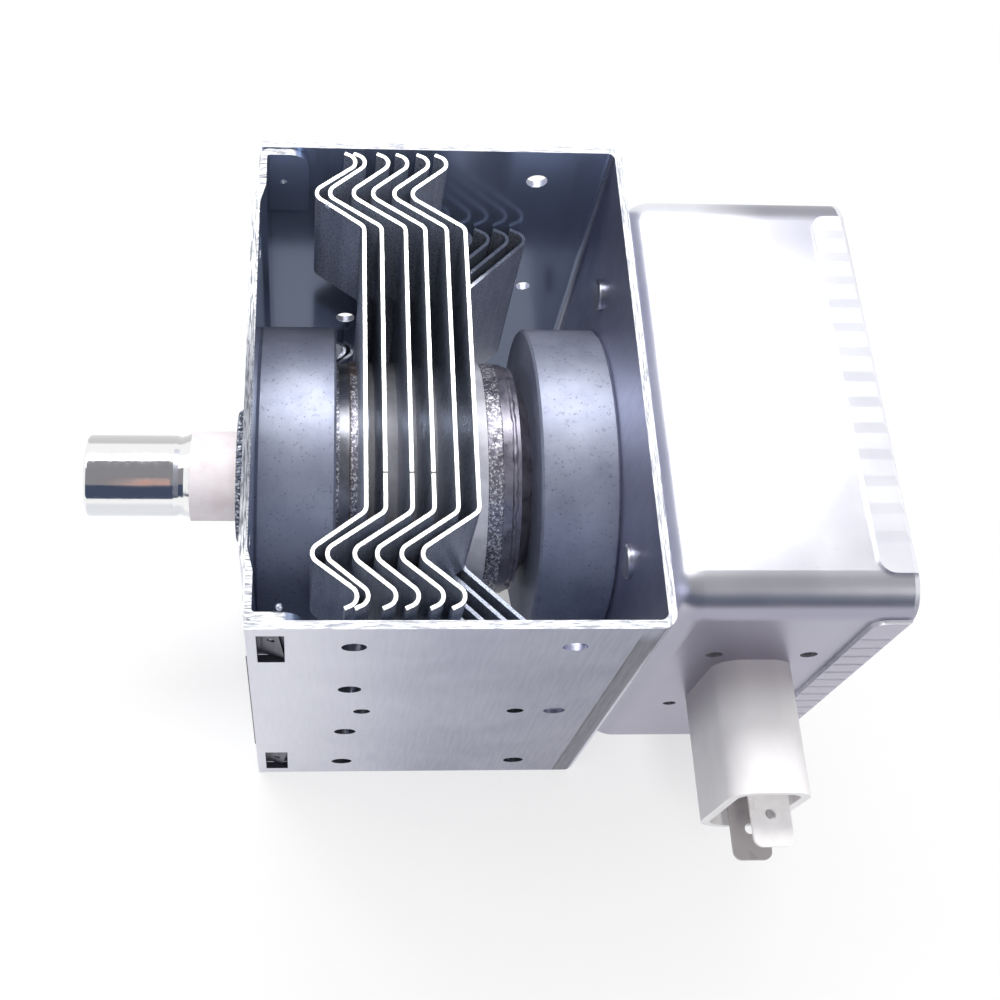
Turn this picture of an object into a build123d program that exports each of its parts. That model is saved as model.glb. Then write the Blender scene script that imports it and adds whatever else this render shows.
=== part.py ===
from build123d import *
import os
from math import sqrt

# Microwave oven magnetron with its steel yoke, cooling fins, antenna and filter box.
# The frame lies as in use on a bench: the tube's axis is X, the antenna points to -X,
# the filter box is at +X and its connector points to -Y. Z is up, along the cooling air.
# X = 0 is the outer face of the yoke plate, on the tube's axis. Sizes are in millimetres.

# Play between pieces that fit together, and how far a cutter runs past what it cuts
FIT_GAP = 0.05
CUT_OVERRUN = 1.0

# Ring magnets
MAGNET_RADIUS = 26.7
MAGNET_THICKNESS = 13.0
MAGNET_CHAMFER = 0.4
MAGNET_BORE_GAP = 0.6

# Yoke: a folded sheet with a plate closing its open side
YOKE_WIDTH = 82.8
YOKE_DEPTH = 89.3
YOKE_SHEET = 1.25
YOKE_BEND_RADIUS = 1.2
PLATE_SHEET = 1.25

# Corner tabs of the plate, and the windows in the yoke's walls that they lock into
TAB_MAGNET_GAP = 0.8
TAB_TIP_MARGIN = 2.4
TAB_END_GAP = 0.3
TAB_BEND_RADIUS = 0.5
TAB_CORNER_RADIUS = 3.5
TAB_HOLE_RADIUS = 0.6
TAB_HOLE_INSET = 1.35
JOGGLE_DEPTH = 0.9
JOGGLE_INSET = 10.65
JOGGLE_RUN = 3.5
WINDOW_LENGTH_X = 4.0
WINDOW_EDGE_X = 1.5
WINDOW_EDGE_Z = 3.2
WINDOW_MARGIN_Z = 1.15
TONGUE_RISE = 0.9
TONGUE_GAP = 0.5
TONGUE_SLANT = 4.6

# Holes in the yoke's two side walls
DUCT_HOLE_RADIUS = 1.85
DUCT_HOLE_NEAR_X = 16.7
DUCT_HOLE_END_GAP = 13.3
DUCT_HOLE_EDGE_GAP = 8.65
LOCATING_HOLE_Z = 13.5
PILOT_HOLE_RADIUS = 1.4
PILOT_HOLE_NEAR_X = 19.1
PILOT_HOLE_SPACING = 25.4
DIMPLE_END_GAP = 11.0
DIMPLE_RADIUS = 1.8
DIMPLE_DEPTH = 0.45

# Holes in the plate that fasten the tube to a waveguide
MOUNT_HOLE_RADIUS = 2.1
MOUNT_HOLE_Y = 25.0
MOUNT_HOLE_Z = 37.0

# Anode: a tube with vanes, straps and a pole piece at each end
ANODE_RADIUS = 20.5
ANODE_WALL = 2.5
ANODE_LENGTH = 23.2
VANE_COUNT = 10
VANE_THICKNESS = 2.0
VANE_LENGTH = 9.5
VANE_TIP_RADIUS = 4.6
STRAP_THICKNESS = 0.6
STRAP_DEPTH = 1.2
STRAP_SMALL_RADIUS = 7.0
STRAP_LARGE_RADIUS = 9.0
STRAP_SLOT_GAP = 0.4
POLE_TIP_RADIUS = 5.0
POLE_TIP_WIDTH = 4.5
POLE_VANE_GAP = 2.65
POLE_ROOT_GAP = 1.5
POLE_RIM_WIDTH = 2.5
POLE_RIM_SETBACK = 0.4

# Cups that seal the tube's two ends
CUP_SHEET = 0.6
CUP_NECK_RADIUS = 9.4
CUP_FLANGE_LENGTH = 2.3
CUP_FLANGE_SETBACK = 0.2
CUP_BEAD_SETBACK = 0.8
CUP_BEAD_LENGTH = 1.6
CUP_STEP = 1.5
CUP_CONE_LENGTH = 2.3
CUP_SEAT_WIDTH = 5.2
CUP_REACH = 2.4

# Antenna
CERAMIC_RADIUS = 7.9
CERAMIC_WALL = 2.3
CERAMIC_LENGTH = 8.4
CAP_SETBACK = 0.75
CAP_LENGTH = 18.4
CAP_NECK_LENGTH = 1.8
CAP_NECK_DROP = 0.25
CAP_FLARE_LENGTH = 1.0
CAP_FLARE_RISE = 0.4
CAP_SHEET = 0.5
CAP_EDGE_RADIUS = 0.8
EXHAUST_RADIUS = 3.4
EXHAUST_WALL = 0.7
EXHAUST_TIP_GAP = 2.2
STRIP_WIDTH = 2.0
STRIP_SHEET = 1.0
STRIP_RISE = 2.6
STRIP_NECK_GAP = 1.36
STRIP_BEND_RADIUS = 2.0
STRIP_TIP_GAP = 1.5
STRIP_HOLE_GAP = 1.2
GASKET_WIDTH = 2.0
GASKET_TAPER = 0.7
GASKET_LENGTH = 2.2
WASHER_THICKNESS = 0.4
WASHER_MARGIN = 0.6

# Cooling fins: sheets whose ends are slit in three strips. The outer strips fold to a zigzag
# and end in a hook, the middle one slopes the other way to the wall.
FIN_COUNT = 6
FIN_START_GAP = 1.5
FIN_PITCH = 3.33
FIN_SHIFTS = (0.15, -0.35, 0.2, 0.05, 0.2, -0.1)
FIN_FIRST_LEAN = 1.35
FIN_SHEET = 0.6
FIN_WEB_SETBACK = 2.4
FIN_OVERHANG = 0.65
FIN_SLIT = 0.4
FIN_STRIP_Z = 21.2
FIN_KNEE_X = 9.4
FIN_KNEE_GAP = 3.95
FIN_HOOK_X = 1.35
FIN_HOOK_GAP = 2.9
FIN_TIP_X = 4.5
FIN_TIP_GAP = 1.45
FIN_SLOPE_X = 14.7
FIN_SLOPE_GAP = 2.25
FIN_LIP_X = 11.2
FIN_LIP_GAP = 0.4
FIN_BEND_RADIUS = 1.5
FIN_COLLAR_LENGTH = 1.2
FIN_COLLAR_SHEET = 0.3

# Filter box, its lid and the rivets that hold it to the yoke
BOX_LENGTH = 37.4
BOX_WIDTH = 73.1
BOX_DEPTH = 80.3
BOX_OFFSET_Y = -0.6
BOX_SHEET = 0.7
BOX_EDGE_RADIUS = 5.8
LID_SHEET = 0.7
LID_LIP = 5.1
LID_BEND_RADIUS = 0.9
LIP_END_GAP = 0.6
LIP_CORNER_RADIUS = 2.4
CRIMP_PITCH = 4.45
CRIMP_COUNT = 13
CRIMP_LENGTH = 1.8
CRIMP_DEPTH = 0.14
STEM_HOLE_GAP = 0.2
RIVET_RADIUS = 1.75
RIVET_HEAD_RADIUS = 2.8
RIVET_HEAD_HEIGHT = 1.0
RIVET_MAGNET_GAP = 4.8

# Connector on the filter box, its two terminals and the holes beside it
CONNECTOR_PLACE = 20.0
CONNECTOR_WIDTH = 13.0
CONNECTOR_LOW_Z = -13.5
CONNECTOR_HIGH_Z = 14.4
CONNECTOR_LOW_CORNER = 6.2
CONNECTOR_HIGH_CORNER = 4.5
CONNECTOR_LENGTH = 20.4
CONNECTOR_WALL = 1.5
CONNECTOR_SOCKET_DEPTH = 12.0
CONNECTOR_NECK_INSET = 1.2
CAPACITOR_DEPTH = 12.0
CAPACITOR_INSET = 0.4
TERMINAL_WIDTH = 6.35
TERMINAL_THICKNESS = 0.8
TERMINAL_SPACING = 12.4
TERMINAL_REACH = 6.4
TERMINAL_HOLE_RADIUS = 0.85
TERMINAL_HOLE_SETBACK = 4.8
TERMINAL_CORNER_RADIUS = 1.4
TERMINAL_SHIFT = 1.0
TERMINAL_TAIL = 3.0
BOX_HOLE_RADIUS = 1.4
BOX_HOLE_SPACING = 15.3
BOX_HOLE_GAP = 2.6
BOX_VENT_RADIUS = 1.1
BOX_VENT_GAP = 1.9
BOX_VENT_RISE = 1.2

# Cathode, its ceramic stem and the choke coils inside the filter box
STEM_SETBACK = 2.0
STEM_RADIUS = 8.0
STEM_LENGTH = 9.0
CATHODE_LENGTH = 9.5
FILAMENT_RADIUS = 2.0
FILAMENT_WIRE = 0.5
HAT_RADIUS = 3.4
HAT_THICKNESS = 1.0
LEAD_RADIUS = 0.6
LEAD_OFFSET = 2.6
LEAD_GAP = 0.35
PIN_LENGTH = 5.0
CHOKE_RADIUS = 4.6
CHOKE_WIRE = 1.4
CHOKE_PAST_AXIS = 4.55
CHOKE_SPACING = 16.0
CHOKE_TAIL_RISE = 2.8

# Places along X, worked out from the sizes
NEAR_MAGNET_X = PLATE_SHEET
CUP_FACE_X = NEAR_MAGNET_X + MAGNET_THICKNESS
ANODE_START_X = CUP_FACE_X + CUP_FLANGE_LENGTH
ANODE_END_X = ANODE_START_X + ANODE_LENGTH
ANODE_MID_X = (ANODE_START_X + ANODE_END_X) / 2
POLE_RIM_END_X = ANODE_END_X + POLE_RIM_WIDTH
BEAD_END_X = POLE_RIM_END_X + 2 * CUP_BEAD_LENGTH
FAR_MAGNET_X = BEAD_END_X + CUP_CONE_LENGTH
END_WALL_X = FAR_MAGNET_X + MAGNET_THICKNESS
YOKE_LENGTH = END_WALL_X + YOKE_SHEET
BOX_START_X = YOKE_LENGTH
BOX_END_X = BOX_START_X + BOX_LENGTH
STEM_START_X = END_WALL_X + STEM_SETBACK
STEM_END_X = STEM_START_X + STEM_LENGTH
PIN_END_X = STEM_END_X + PIN_LENGTH
CONNECTOR_X = BOX_START_X + CONNECTOR_PLACE
TERMINAL_X = CONNECTOR_X + TERMINAL_SHIFT
CERAMIC_END_X = -CUP_REACH
CERAMIC_START_X = CERAMIC_END_X - CERAMIC_LENGTH
CAP_TIP_X = CERAMIC_START_X - CAP_LENGTH

# Places across the yoke and the box
WALL_MID_Y = YOKE_WIDTH / 2 - YOKE_SHEET / 2
WALL_INNER_Y = YOKE_WIDTH / 2 - YOKE_SHEET
FRONT_Z = YOKE_DEPTH / 2
REAR_Z = -FRONT_Z
TAB_START_Z = MAGNET_RADIUS + TAB_MAGNET_GAP
TAB_END_Z = FRONT_Z - TAB_END_GAP
WINDOW_START_Z = TAB_START_Z + WINDOW_MARGIN_Z
WINDOW_END_Z = FRONT_Z - WINDOW_EDGE_Z
WINDOW_START_X = PLATE_SHEET + WINDOW_EDGE_X
WINDOW_END_X = WINDOW_START_X + WINDOW_LENGTH_X
WINDOW_MID_X = (WINDOW_START_X + WINDOW_END_X) / 2
WINDOW_MID_Z = (WINDOW_START_Z + WINDOW_END_Z) / 2
PLATE_MID_X = PLATE_SHEET / 2
PLATE_SUNK_X = PLATE_MID_X + JOGGLE_DEPTH
BOX_FACE_Y = BOX_OFFSET_Y - BOX_WIDTH / 2
BOX_INNER_Y = BOX_FACE_Y + BOX_SHEET
MOUTH_Y = BOX_FACE_Y - CONNECTOR_LENGTH
SOCKET_FLOOR_Y = MOUTH_Y + CONNECTOR_SOCKET_DEPTH
CAPACITOR_BACK_Y = BOX_INNER_Y + CAPACITOR_DEPTH
CHOKE_START_Y = CAPACITOR_BACK_Y + TERMINAL_TAIL

# Radii that follow the piece they fit
NECK_OUTER_RADIUS = CUP_NECK_RADIUS + CUP_SHEET
MAGNET_BORE_RADIUS = NECK_OUTER_RADIUS + MAGNET_BORE_GAP
STEM_HOLE_RADIUS = NECK_OUTER_RADIUS + STEM_HOLE_GAP
ANODE_BORE_RADIUS = ANODE_RADIUS - ANODE_WALL
CERAMIC_BORE_RADIUS = CERAMIC_RADIUS - CERAMIC_WALL
CAP_RADIUS = CERAMIC_RADIUS - CAP_SETBACK
GASKET_RADIUS = NECK_OUTER_RADIUS + GASKET_WIDTH
RIVET_HOLE_RADIUS = RIVET_RADIUS + FIT_GAP
RIVET_OFFSET = (MAGNET_RADIUS + RIVET_MAGNET_GAP + RIVET_HEAD_RADIUS) / sqrt(2)
RIVET_PLACES = [(y, z) for y in (-RIVET_OFFSET, RIVET_OFFSET) for z in (-RIVET_OFFSET, RIVET_OFFSET)]


def rod_x(x0, x1, radius, y=0, z=0):
    """Round bar along X from x0 to x1."""
    return Pos((x0 + x1) / 2, y, z) * Rot(0, 90, 0) * Cylinder(radius, x1 - x0)


def rod_y(y0, y1, radius, x=0, z=0):
    """Round bar along Y from y0 to y1."""
    return Pos(x, (y0 + y1) / 2, z) * Rot(90, 0, 0) * Cylinder(radius, y1 - y0)


def drill_x(x0, x1, radius, y=0, z=0):
    """Cutter for a round hole along X that opens at both x0 and x1."""
    return rod_x(x0 - CUT_OVERRUN, x1 + CUT_OVERRUN, radius, y, z)


def ring_x(x0, x1, outer, inner):
    """Round tube along X from x0 to x1."""
    return rod_x(x0, x1, outer) - drill_x(x0, x1, inner)


def block(x0, x1, y0, y1, z0, z1):
    """Rectangular block between two corners."""
    return Pos((x0 + x1) / 2, (y0 + y1) / 2, (z0 + z1) / 2) * Box(x1 - x0, y1 - y0, z1 - z0)


def turned(points):
    """Body of revolution about X from an outline of (x, radius) points."""
    outline = make_face(Polyline([(x, r, 0) for x, r in points], close=True))
    return revolve(outline, Axis.X, 360)


def bent_sheet(points, radius, sheet, z0, z1):
    """Folded sheet: a path in the XY plane, bent at its corners, drawn out from z0 to z1."""
    path = FilletPolyline(*points, radius=radius)
    return Pos(0, 0, z0) * extrude(trace(path, line_width=sheet), z1 - z0)


def side_wall_cutters(side):
    """Holes and windows of the side wall at +Y or -Y."""
    y0, y1 = sorted((side * (WALL_INNER_Y - CUT_OVERRUN), side * (YOKE_WIDTH / 2 + CUT_OVERRUN)))
    duct_z = FRONT_Z - DUCT_HOLE_EDGE_GAP
    duct_xs = (DUCT_HOLE_NEAR_X, YOKE_LENGTH - DUCT_HOLE_END_GAP)
    holes = [(x, z, DUCT_HOLE_RADIUS) for x in duct_xs for z in (-duct_z, duct_z)]
    holes += [(DUCT_HOLE_NEAR_X, z, DUCT_HOLE_RADIUS) for z in (-LOCATING_HOLE_Z, LOCATING_HOLE_Z)]
    holes += [(PILOT_HOLE_NEAR_X + dx, 0, PILOT_HOLE_RADIUS) for dx in (0, PILOT_HOLE_SPACING)]
    cutters = [rod_y(y0, y1, r, x, z) for x, z, r in holes]
    cutters.append(block(WINDOW_START_X, WINDOW_END_X, y0, y1, WINDOW_START_Z, WINDOW_END_Z))
    cutters.append(block(WINDOW_START_X, WINDOW_END_X, y0, y1, -WINDOW_END_Z, -WINDOW_START_Z))
    return cutters


def yoke_frame():
    """U-shaped yoke: two side walls and the end wall that the filter box sits on."""
    end_x = END_WALL_X + YOKE_SHEET / 2
    path = [(PLATE_SHEET, -WALL_MID_Y), (end_x, -WALL_MID_Y), (end_x, WALL_MID_Y), (PLATE_SHEET, WALL_MID_Y)]
    body = bent_sheet(path, YOKE_BEND_RADIUS + YOKE_SHEET / 2, YOKE_SHEET, REAR_Z, FRONT_Z)
    for side in (-1, 1):
        body -= side_wall_cutters(side)
    body -= drill_x(END_WALL_X, YOKE_LENGTH, STEM_HOLE_RADIUS)
    for y, z in RIVET_PLACES:
        body -= drill_x(END_WALL_X, YOKE_LENGTH, RIVET_HOLE_RADIUS, y, z)
    # One wall has a pressed dimple where the other has a drilled hole
    outer_y = YOKE_WIDTH / 2
    dimple_x = YOKE_LENGTH - DIMPLE_END_GAP
    body -= rod_y(-outer_y - CUT_OVERRUN, -outer_y + DIMPLE_DEPTH, DIMPLE_RADIUS, dimple_x)
    body -= rod_y(WALL_INNER_Y - CUT_OVERRUN, outer_y + CUT_OVERRUN, PILOT_HOLE_RADIUS, dimple_x)
    return body


def plate_sheet(end_points, z0, z1):
    """Plate over one stretch of depth: flat in the middle and stepped back towards both ends."""
    joggle_y = WALL_INNER_Y - JOGGLE_INSET
    half = [(PLATE_MID_X, joggle_y), (PLATE_SUNK_X, joggle_y + JOGGLE_RUN)] + end_points
    path = [(x, -y) for x, y in reversed(half)] + half
    return bent_sheet(path, TAB_BEND_RADIUS + PLATE_SHEET / 2, PLATE_SHEET, z0, z1)


def tongue(side):
    """Wedge that is pressed out of a tab into the wall's window, with a slanted end."""
    root = side * (WALL_INNER_Y - FIT_GAP)
    x0, x1 = WINDOW_START_X + TONGUE_GAP, WINDOW_END_X
    outline = make_face(Polyline([(x0, root), (x1, root), (x1, root + side * TONGUE_RISE)], close=True))
    height = WINDOW_END_Z - WINDOW_START_Z - 2 * TONGUE_GAP
    wedge = Pos(0, 0, WINDOW_START_Z + TONGUE_GAP) * extrude(outline, height)
    cutter = block(0, WINDOW_LENGTH_X, -height, height, -height, height)
    return wedge - Pos(x1 - TONGUE_GAP, root, WINDOW_MID_Z) * Rot(0, -TONGUE_SLANT, 0) * cutter


def tab_band():
    """Front band of the plate, with a corner tab folded along each side wall."""
    root = WALL_INNER_Y - FIT_GAP
    lane = root - PLATE_SHEET / 2
    tip = WINDOW_END_X + TAB_TIP_MARGIN
    band = plate_sheet([(PLATE_SUNK_X, lane), (tip, lane)], TAB_START_Z, TAB_END_Z)
    corners = band.edges().filter_by(Axis.Y).group_by(Axis.X)[-1].group_by(Axis.Z)[-1]
    band = fillet(corners, TAB_CORNER_RADIUS)
    band += [tongue(-1), tongue(1)]
    y_out = root + TONGUE_RISE + CUT_OVERRUN
    return band - rod_y(-y_out, y_out, TAB_HOLE_RADIUS, WINDOW_MID_X, WINDOW_MID_Z + TAB_HOLE_INSET)


def yoke_plate():
    """Plate that closes the yoke and seats against the waveguide."""
    band = tab_band()
    plate = plate_sheet([(PLATE_SUNK_X, WALL_INNER_Y - FIT_GAP)], -TAB_START_Z, TAB_START_Z)
    plate += [band, mirror(band, about=Plane.XY)]
    plate -= drill_x(0, PLATE_SHEET, MAGNET_BORE_RADIUS)
    for y in (-MOUNT_HOLE_Y, MOUNT_HOLE_Y):
        for z in (-MOUNT_HOLE_Z, MOUNT_HOLE_Z):
            plate -= drill_x(0, PLATE_SHEET, MOUNT_HOLE_RADIUS, y, z)
    return plate


def magnet(x0):
    """Ferrite ring with chamfered rims."""
    x1, r, b, c = x0 + MAGNET_THICKNESS, MAGNET_RADIUS, MAGNET_BORE_RADIUS, MAGNET_CHAMFER
    return turned([(x0, b), (x0, r - c), (x0 + c, r), (x1 - c, r), (x1, r - c), (x1, b)])


def fin_strip(x, bends, z0, z1):
    """Fin over one stretch of depth, with both of its ends bent alike."""
    web = (x, MAGNET_RADIUS - FIN_WEB_SETBACK)
    upper = [web] + [(x + dx, WALL_INNER_Y - gap) for dx, gap in bends]
    lower = [(px, -py) for px, py in reversed(upper)]
    return bent_sheet(lower + upper, FIN_BEND_RADIUS, FIN_SHEET, z0, z1)


def fin(index):
    """Cooling fin: zigzag strips at the front and rear, a sloping strip between them."""
    x = ANODE_START_X + FIN_START_GAP + index * FIN_PITCH + FIN_SHIFTS[index % len(FIN_SHIFTS)]
    lean = FIN_FIRST_LEAN if index == 0 else 0
    knee_gap = WALL_INNER_Y - MAGNET_RADIUS - FIN_KNEE_GAP
    zigzag = [(lean / 2 - FIN_KNEE_X, knee_gap), (lean - FIN_HOOK_X, FIN_HOOK_GAP),
              (lean - FIN_TIP_X, FIN_TIP_GAP)]
    slope = [(FIN_SLOPE_X, FIN_SLOPE_GAP), (FIN_LIP_X, FIN_LIP_GAP)]
    inner, outer = FIN_STRIP_Z - FIN_SLIT / 2, FIN_STRIP_Z + FIN_SLIT / 2
    sheet = fin_strip(x, slope, -inner, inner)
    sheet += fin_strip(x, zigzag, outer, FRONT_Z + FIN_OVERHANG)
    sheet += fin_strip(x, zigzag, REAR_Z + FIN_OVERHANG, -outer)
    x0, x1 = x - FIN_SHEET / 2, x + FIN_SHEET / 2
    slit_end = MAGNET_RADIUS - FIN_WEB_SETBACK - FIN_BEND_RADIUS
    sheet += block(x0, x1, -slit_end, slit_end, -outer, outer)
    bore = ANODE_RADIUS + FIT_GAP
    sheet += rod_x(x0, x1 + FIN_COLLAR_LENGTH, bore + FIN_COLLAR_SHEET)
    return sheet - drill_x(x0, x1 + FIN_COLLAR_LENGTH, bore)


def anode_shell():
    """Copper tube that the vanes stand in."""
    return ring_x(ANODE_START_X, ANODE_END_X, ANODE_RADIUS, ANODE_BORE_RADIUS)


def strap_cutters(radius, gap):
    """Room for a strap ring at both ends of the vanes."""
    depth = STRAP_DEPTH + gap
    outer = radius + STRAP_THICKNESS / 2 + gap
    inner = radius - STRAP_THICKNESS / 2 - gap
    ends = (ANODE_MID_X - VANE_LENGTH / 2, ANODE_MID_X + VANE_LENGTH / 2)
    return [ring_x(x - depth, x + depth, outer, inner) for x in ends]


def vane(index):
    """Copper vane; odd and even vanes touch different straps."""
    x0, x1 = ANODE_MID_X - VANE_LENGTH / 2, ANODE_MID_X + VANE_LENGTH / 2
    half = VANE_THICKNESS / 2
    body = block(x0, x1, -half, half, VANE_TIP_RADIUS, ANODE_BORE_RADIUS) & rod_x(x0, x1, ANODE_BORE_RADIUS)
    touches_small = index % 2 == 0
    body -= strap_cutters(STRAP_SMALL_RADIUS, 0 if touches_small else STRAP_SLOT_GAP)
    body -= strap_cutters(STRAP_LARGE_RADIUS, STRAP_SLOT_GAP if touches_small else 0)
    return Rot(index * 360 / VANE_COUNT, 0, 0) * body


def strap(radius, end):
    """Copper ring let into one end of the vanes."""
    face = ANODE_MID_X + end * VANE_LENGTH / 2
    x0, x1 = sorted((face, face - end * STRAP_DEPTH))
    return ring_x(x0, x1, radius + STRAP_THICKNESS / 2, radius - STRAP_THICKNESS / 2)


def pole_piece(face_x, inward, sheet):
    """Dished steel disc that leads the magnet's field to the gap between cathode and vanes."""
    tip = face_x + inward * ((ANODE_LENGTH - VANE_LENGTH) / 2 - POLE_VANE_GAP)
    profile = [(tip, POLE_TIP_RADIUS), (tip, POLE_TIP_RADIUS + POLE_TIP_WIDTH),
               (face_x, ANODE_BORE_RADIUS - POLE_ROOT_GAP), (face_x, ANODE_RADIUS - POLE_RIM_SETBACK)]
    back = [(x - inward * sheet, r) for x, r in reversed(profile)]
    return turned(profile + back)


def pole_piece_antenna():
    """Pole piece with the hole that the antenna's strip passes through."""
    sheet = CUP_FLANGE_LENGTH - CUP_SHEET
    disc = pole_piece(ANODE_START_X, 1, sheet)
    hole_radius = STRIP_WIDTH / 2 + STRIP_HOLE_GAP
    return disc - drill_x(ANODE_START_X - sheet, ANODE_MID_X, hole_radius, z=CUP_NECK_RADIUS + STRIP_RISE)


def seal_cup_antenna():
    """Steel cup from the anode's end, through the magnet, to the antenna's ceramic."""
    t, n, outer = CUP_SHEET, CUP_NECK_RADIUS, NECK_OUTER_RADIUS
    flange = ANODE_RADIUS - CUP_FLANGE_SETBACK
    x0, x1 = CERAMIC_END_X, CUP_FACE_X
    return turned([(x0, CERAMIC_BORE_RADIUS), (x0, outer), (x1, outer), (x1, flange),
                   (x1 + t, flange), (x1 + t, n), (x0 + t, n), (x0 + t, CERAMIC_BORE_RADIUS)])


def seal_cup_filter():
    """Stepped steel cup from the anode's other end, through the magnet, to the ceramic stem."""
    t, n, outer = CUP_SHEET, CUP_NECK_RADIUS, NECK_OUTER_RADIUS
    flange, bead = ANODE_RADIUS - CUP_FLANGE_SETBACK, ANODE_RADIUS - CUP_BEAD_SETBACK
    x0, x1, x2 = POLE_RIM_END_X, POLE_RIM_END_X + CUP_BEAD_LENGTH, BEAD_END_X
    x3, x4 = FAR_MAGNET_X, STEM_START_X
    step, seat = bead - CUP_STEP, outer + CUP_SEAT_WIDTH
    bore = LEAD_OFFSET + LEAD_RADIUS + LEAD_GAP
    outside = [(x0, flange), (x1, flange), (x1, bead), (x2, bead), (x2, step),
               (x3, seat), (x3, outer), (x4, outer)]
    inside = [(x4, bore), (x4 - t, bore), (x4 - t, n), (x3 - t, n), (x3 - t, seat - t),
              (x2 - t, step - t), (x2 - t, bead - t), (x0, bead - t)]
    return turned(outside + inside)


def antenna_ceramic():
    """Ceramic tube between the cup and the antenna's cap."""
    return ring_x(CERAMIC_START_X, CERAMIC_END_X, CERAMIC_RADIUS, CERAMIC_BORE_RADIUS)


def exhaust_tube():
    """Copper tube that the tube was pumped through, pinched to an edge under the cap."""
    r, w = EXHAUST_RADIUS, EXHAUST_WALL
    x0, x1 = CAP_TIP_X + EXHAUST_TIP_GAP, CERAMIC_START_X
    tube = ring_x(x0 + r, x1, r, r - w)
    round_end = Plane((x0 + r, 0, 0), z_dir=(-1, 0, 0)) * Circle(r)
    flat_end = Plane((x0, 0, 0), z_dir=(-1, 0, 0)) * Rectangle(w, 2 * r)
    flange = ring_x(x1 - CUP_SHEET, x1, CAP_RADIUS - CAP_SHEET - FIT_GAP, r - w)
    return tube + loft([round_end, flat_end]) + flange


def antenna_lead():
    """Copper strip from one vane, through the pole piece, to the exhaust tube."""
    rise = CUP_NECK_RADIUS + STRIP_RISE
    x_vane = ANODE_MID_X - VANE_LENGTH / 2
    x_bend = ANODE_START_X - FIT_GAP
    x_tip = CAP_TIP_X + EXHAUST_TIP_GAP + EXHAUST_RADIUS + STRIP_TIP_GAP
    # The strip comes down steeply enough to clear the cup's inner edge
    slope_run = (x_bend - CUP_FACE_X - CUP_SHEET) * rise / (STRIP_RISE + STRIP_NECK_GAP)
    points = [(x_vane, rise), (x_bend, rise), (x_bend - slope_run, 0), (x_tip, 0)]
    strip = bent_sheet(points, STRIP_BEND_RADIUS, STRIP_SHEET, -STRIP_WIDTH / 2, STRIP_WIDTH / 2)
    return Rot(90, 0, 0) * strip


def antenna_cap():
    """Drawn cap over the exhaust tube, flared where it meets the ceramic."""
    r, f, t, e = CAP_RADIUS, CAP_RADIUS + CAP_FLARE_RISE, CAP_SHEET, CAP_EDGE_RADIUS
    waist = r - CAP_NECK_DROP
    x0, x4 = CAP_TIP_X, CERAMIC_START_X - FIT_GAP
    x3 = x4 - CAP_FLARE_LENGTH
    x1, x5 = x3 - CAP_NECK_LENGTH, x4 + CUT_OVERRUN
    x2 = (x1 + x3) / 2
    cap = rod_x(x0, x4, r)
    cap = fillet(cap.edges().group_by(Axis.X)[0], e)
    cap -= turned([(x1, r), (x2, waist), (x3, r), (x3, f), (x1, f)])
    cap += turned([(x3, r - t), (x3, r), (x4, f), (x4, f - t)])
    return cap - turned([(x0 + t, 0), (x0 + t, r - e), (x0 + e, r - t), (x1, r - t),
                         (x2, waist - t), (x5, f), (x5, 0)])


def gasket():
    """Woven metal ring that seals the antenna's base against the waveguide."""
    bore, top = NECK_OUTER_RADIUS + FIT_GAP, GASKET_RADIUS - GASKET_TAPER
    x0, x1 = -WASHER_THICKNESS - GASKET_LENGTH, -WASHER_THICKNESS
    return turned([(x0, bore), (x0, top), (x1, GASKET_RADIUS), (x1, bore)])


def gasket_washer():
    """Thin washer between the gasket and the plate."""
    return ring_x(-WASHER_THICKNESS, 0, GASKET_RADIUS + WASHER_MARGIN, NECK_OUTER_RADIUS + FIT_GAP)


def stem_ceramic():
    """Ceramic stem that carries the two cathode leads."""
    stem = rod_x(STEM_START_X, STEM_END_X, STEM_RADIUS)
    for z in (0, LEAD_OFFSET):
        stem -= drill_x(STEM_START_X, STEM_END_X, LEAD_RADIUS + FIT_GAP, z=z)
    return stem


def filament():
    """Filament between the two end hats, as the envelope of its coil."""
    x0, x1 = ANODE_MID_X - CATHODE_LENGTH / 2, ANODE_MID_X + CATHODE_LENGTH / 2
    return ring_x(x0, x1, FILAMENT_RADIUS, FILAMENT_RADIUS - FILAMENT_WIRE)


def end_hat(end):
    """Disc at one end of the filament; the filter side lets the centre lead through."""
    face = ANODE_MID_X + end * CATHODE_LENGTH / 2
    x0, x1 = sorted((face, face + end * HAT_THICKNESS))
    if end < 0:
        return rod_x(x0, x1, HAT_RADIUS)
    return ring_x(x0, x1, HAT_RADIUS, LEAD_RADIUS + LEAD_GAP)


def cathode_lead(end):
    """Rod from an end hat, through the stem, to a choke coil."""
    if end < 0:
        return rod_x(ANODE_MID_X - CATHODE_LENGTH / 2, PIN_END_X, LEAD_RADIUS)
    return rod_x(ANODE_MID_X + CATHODE_LENGTH / 2 + HAT_THICKNESS, PIN_END_X, LEAD_RADIUS, z=LEAD_OFFSET)


def rounded_box(length, width, depth, radius):
    """Block with round edges along X and round edges on its low X end."""
    solid = Box(length, width, depth)
    return fillet(solid.edges().filter_by(Axis.X) + solid.edges().group_by(Axis.X)[0], radius)


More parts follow.
